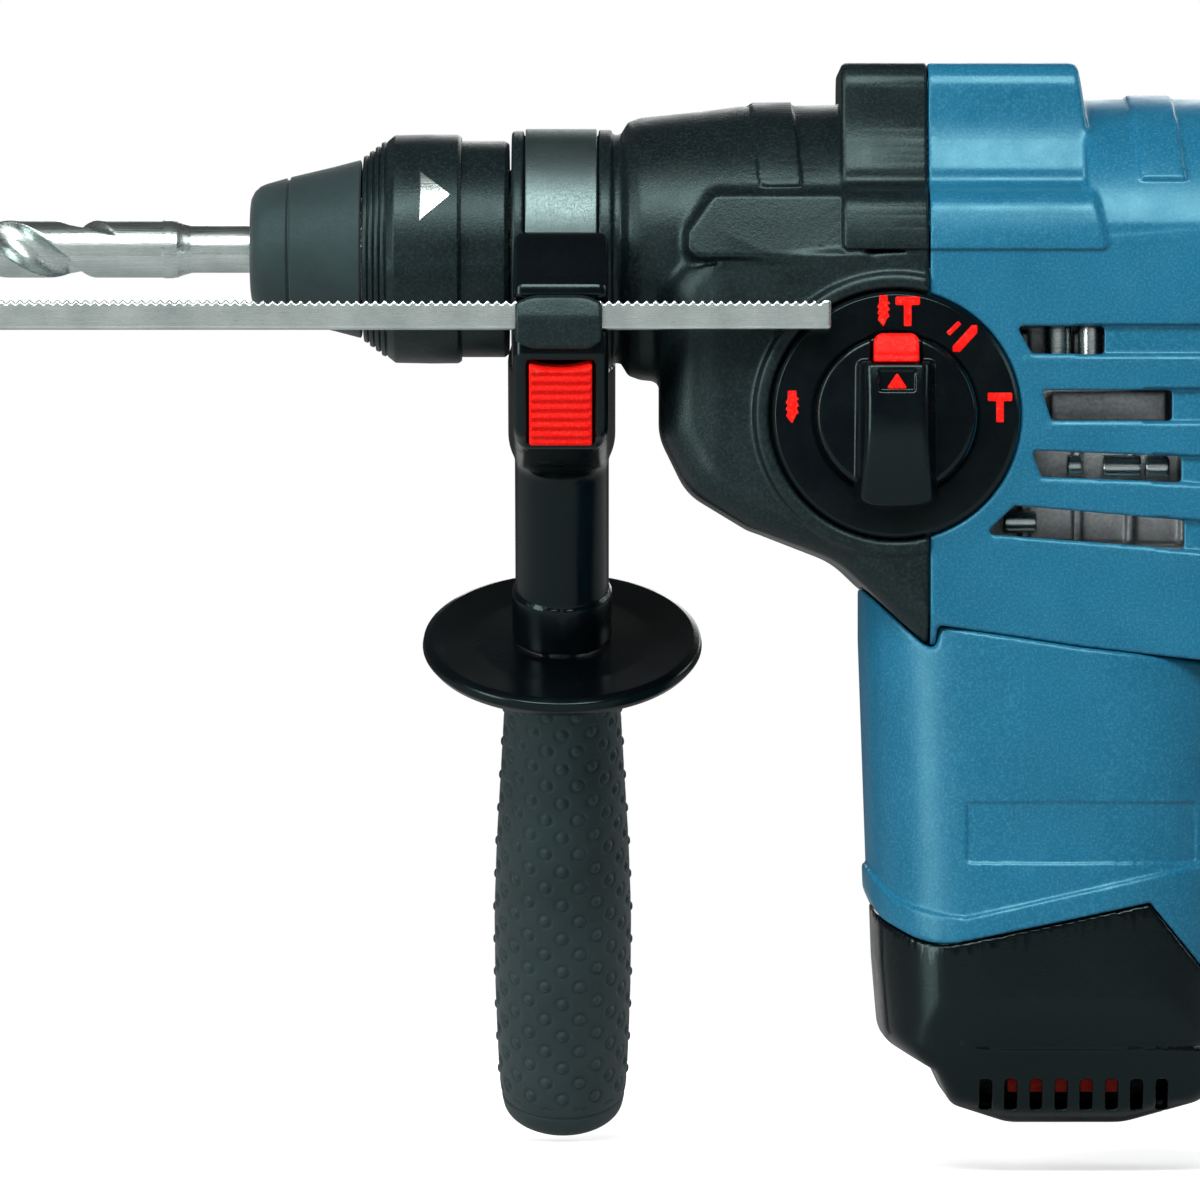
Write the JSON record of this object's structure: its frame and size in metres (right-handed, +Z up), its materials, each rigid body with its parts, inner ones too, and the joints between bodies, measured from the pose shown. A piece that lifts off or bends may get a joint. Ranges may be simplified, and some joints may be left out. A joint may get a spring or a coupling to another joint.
{
  "type": "rotary hammer",
  "caption": "Rotary hammer with an upright motor, a slotted-shank chuck, a sprung rear handle, a turning mode selector and a swivelling side handle that carries a toothed depth rod.",
  "frame": {"origin": "on the motor axis, at the flat underside of the motor base", "axes": "+Z up along the motor axis, the spindle points along -X, the mode selector and depth rod are on the -Y side"},
  "size_m": [0.4545, 0.1591, 0.2307],
  "materials": {
    "blue_plastic": "satin moulded plastic, fine spark-eroded grain",
    "black_plastic": "satin black glass-filled plastic, fine grain",
    "gloss_black_plastic": "polished black plastic",
    "black_rubber": "matt moulded rubber",
    "red_plastic": "satin red plastic",
    "bright_steel": "ground and nickel-plated steel",
    "band_steel": "brushed strap steel",
    "gear_steel": "hardened, oiled steel",
    "cast_aluminium": "die-cast, rough",
    "lamination_iron": "varnished laminations",
    "copper_wire": "enamelled copper wire",
    "commutator_copper": "turned copper",
    "carbon": "pressed carbon"
  },
  "bodies": {
    "housing": {"gear_housing": "black_plastic", "body_shell_left": "blue_plastic", "body_shell_right": "blue_plastic", "motor_housing": "blue_plastic", "base_cap": "black_plastic", "stator_core": "lamination_iron", "field_winding": "copper_wire", "bearing_bracket": "cast_aluminium", "upper_bearing": "bright_steel", "lower_bearing": "bright_steel", "brush_holder": "red_plastic", "brush_left": "carbon", "brush_right": "carbon", "spindle_bearing": "bright_steel", "selector_ring": "black_plastic", "bellows": "black_rubber", "damper_spring": "bright_steel", "handle_pivot_pin": "bright_steel"},
    "armature": {"armature_core": "lamination_iron", "armature_windings": "copper_wire", "commutator": "commutator_copper", "armature_shaft": "bright_steel", "cooling_fan": "black_plastic"},
    "crank": {"crank_gear": "gear_steel"},
    "counter_shaft": {"counter_shaft": "gear_steel"},
    "spindle": {"spindle_tube": "bright_steel", "spindle_bevel_gear": "gear_steel", "tool_holder": "bright_steel", "locking_ball_upper": "bright_steel", "locking_ball_lower": "bright_steel", "lock_ring": "gear_steel", "chuck_spring": "bright_steel", "dust_cap": "black_rubber", "chuck_ring": "black_plastic"},
    "locking_sleeve": {"locking_sleeve": "black_plastic"},
    "bit": {"drill_bit": "bright_steel"},
    "piston": {"piston": "bright_steel", "wrist_pin": "bright_steel"},
    "conrod": {"conrod": "gear_steel", "crank_pin": "bright_steel"},
    "striker": {"striker": "bright_steel"},
    "impact_bolt": {"impact_bolt": "bright_steel"},
    "selector": {"selector_knob": "black_plastic"},
    "selector_release": {"selector_button": "red_plastic"},
    "side_handle": {"clamp_band": "band_steel", "handle_head": "black_plastic", "head_cap": "black_plastic"},
    "rod_release": {"rod_button": "red_plastic"},
    "side_grip": {"grip_flange": "gloss_black_plastic", "side_grip": "black_rubber", "clamp_bolt": "bright_steel"},
    "depth_stop": {"depth_rod": "bright_steel"},
    "rear_handle": {"rear_handle_left": "blue_plastic", "rear_handle_right": "blue_plastic", "soft_grip": "black_rubber", "switch_module": "black_plastic", "cord_gland": "black_rubber"},
    "trigger": {"trigger": "black_plastic"},
    "reverse": {"reverse_slider": "black_plastic"},
    "lock_on": {"lock_on_button": "black_plastic"}
  },
  "joints": [
    {"name": "armature_spin", "type": "hinge", "parent": "housing", "child": "armature", "pos_m": [0, 0, 0.07], "axis": [0, 0, 1], "continuous": true},
    {"name": "crank_spin", "type": "hinge", "parent": "housing", "child": "crank", "pos_m": [-0.024, 0, 0.14], "axis": [0, 0, 1], "continuous": true},
    {"name": "counter_shaft_spin", "type": "hinge", "parent": "housing", "child": "counter_shaft", "pos_m": [-0.0552, 0, 0.14], "axis": [0, 0, 1], "continuous": true},
    {"name": "spindle_spin", "type": "hinge", "parent": "housing", "child": "spindle", "pos_m": [-0.09, 0, 0.1821], "axis": [1, 0, 0], "continuous": true},
    {"name": "locking_sleeve_slide", "type": "slide", "parent": "spindle", "child": "locking_sleeve", "axis": [1, 0, 0], "range_m": [0, 0.007], "stiffness_N_per_m": 1500, "springref_m": -0.003, "deforming": ["chuck_spring"]},
    {"name": "bit_slide", "type": "slide", "parent": "spindle", "child": "bit", "axis": [-1, 0, 0], "range_m": [0, 0.008]},
    {"name": "piston_slide", "type": "slide", "parent": "housing", "child": "piston", "axis": [-1, 0, 0], "range_m": [0, 0.016]},
    {"name": "conrod_swing", "type": "hinge", "parent": "piston", "child": "conrod", "pos_m": [-0.056, 0, 0.1821], "axis": [0, 0, 1], "range_deg": [-11.5, 11.5]},
    {"name": "striker_slide", "type": "slide", "parent": "housing", "child": "striker", "axis": [-1, 0, 0], "range_m": [0, 0.005]},
    {"name": "impact_bolt_slide", "type": "slide", "parent": "spindle", "child": "impact_bolt", "axis": [-1, 0, 0], "range_m": [0, 0.003]},
    {"name": "selector_turn", "type": "hinge", "parent": "housing", "child": "selector", "pos_m": [-0.0336, -0.04, 0.1466], "axis": [0, 1, 0], "range_deg": [-90, 90]},
    {"name": "selector_release_press", "type": "slide", "parent": "selector", "child": "selector_release", "axis": [0, 1, 0], "range_m": [0, 0.002], "stiffness_N_per_m": 500, "springref_m": -0.002},
    {"name": "side_handle_swivel", "type": "hinge", "parent": "housing", "child": "side_handle", "pos_m": [-0.1026, 0, 0.1821], "axis": [1, 0, 0], "range_deg": [-215, 0]},
    {"name": "rod_release_press", "type": "slide", "parent": "side_handle", "child": "rod_release", "axis": [0, 0.8829, 0.4695], "range_m": [0, 0.0025], "stiffness_N_per_m": 600, "springref_m": -0.002},
    {"name": "side_grip_twist", "type": "hinge", "parent": "side_handle", "child": "side_grip", "pos_m": [-0.1026, 0.05634, 0.07615], "axis": [0, 0.4695, -0.8829], "range_deg": [-360, 0]},
    {"name": "depth_rod_slide", "type": "slide", "parent": "side_handle", "child": "depth_stop", "axis": [1, 0, 0], "range_m": [-0.045, 0.04]},
    {"name": "rear_handle_swing", "type": "hinge", "parent": "housing", "child": "rear_handle", "pos_m": [0.052, 0, 0.028], "axis": [0, 1, 0], "range_deg": [-1.5, 1.5], "stiffness_Nm_per_rad": 150, "deforming": ["bellows", "damper_spring"]},
    {"name": "trigger_pull", "type": "slide", "parent": "rear_handle", "child": "trigger", "axis": [1, 0, 0], "range_m": [0, 0.008], "stiffness_N_per_m": 500, "springref_m": -0.004},
    {"name": "reverse_slide", "type": "slide", "parent": "rear_handle", "child": "reverse", "axis": [0, 1, 0], "range_m": [-0.003, 0.003]},
    {"name": "lock_on_press", "type": "slide", "parent": "rear_handle", "child": "lock_on", "axis": [0, 1, 0], "range_m": [0, 0.003], "stiffness_N_per_m": 500, "springref_m": -0.002}
  ],
  "couplings": [
    {"joint": "crank_spin", "follows": "armature_spin", "ratio": -0.25},
    {"joint": "counter_shaft_spin", "follows": "armature_spin", "ratio": 0.4},
    {"joint": "spindle_spin", "follows": "armature_spin", "ratio": -0.16667}
  ]
}
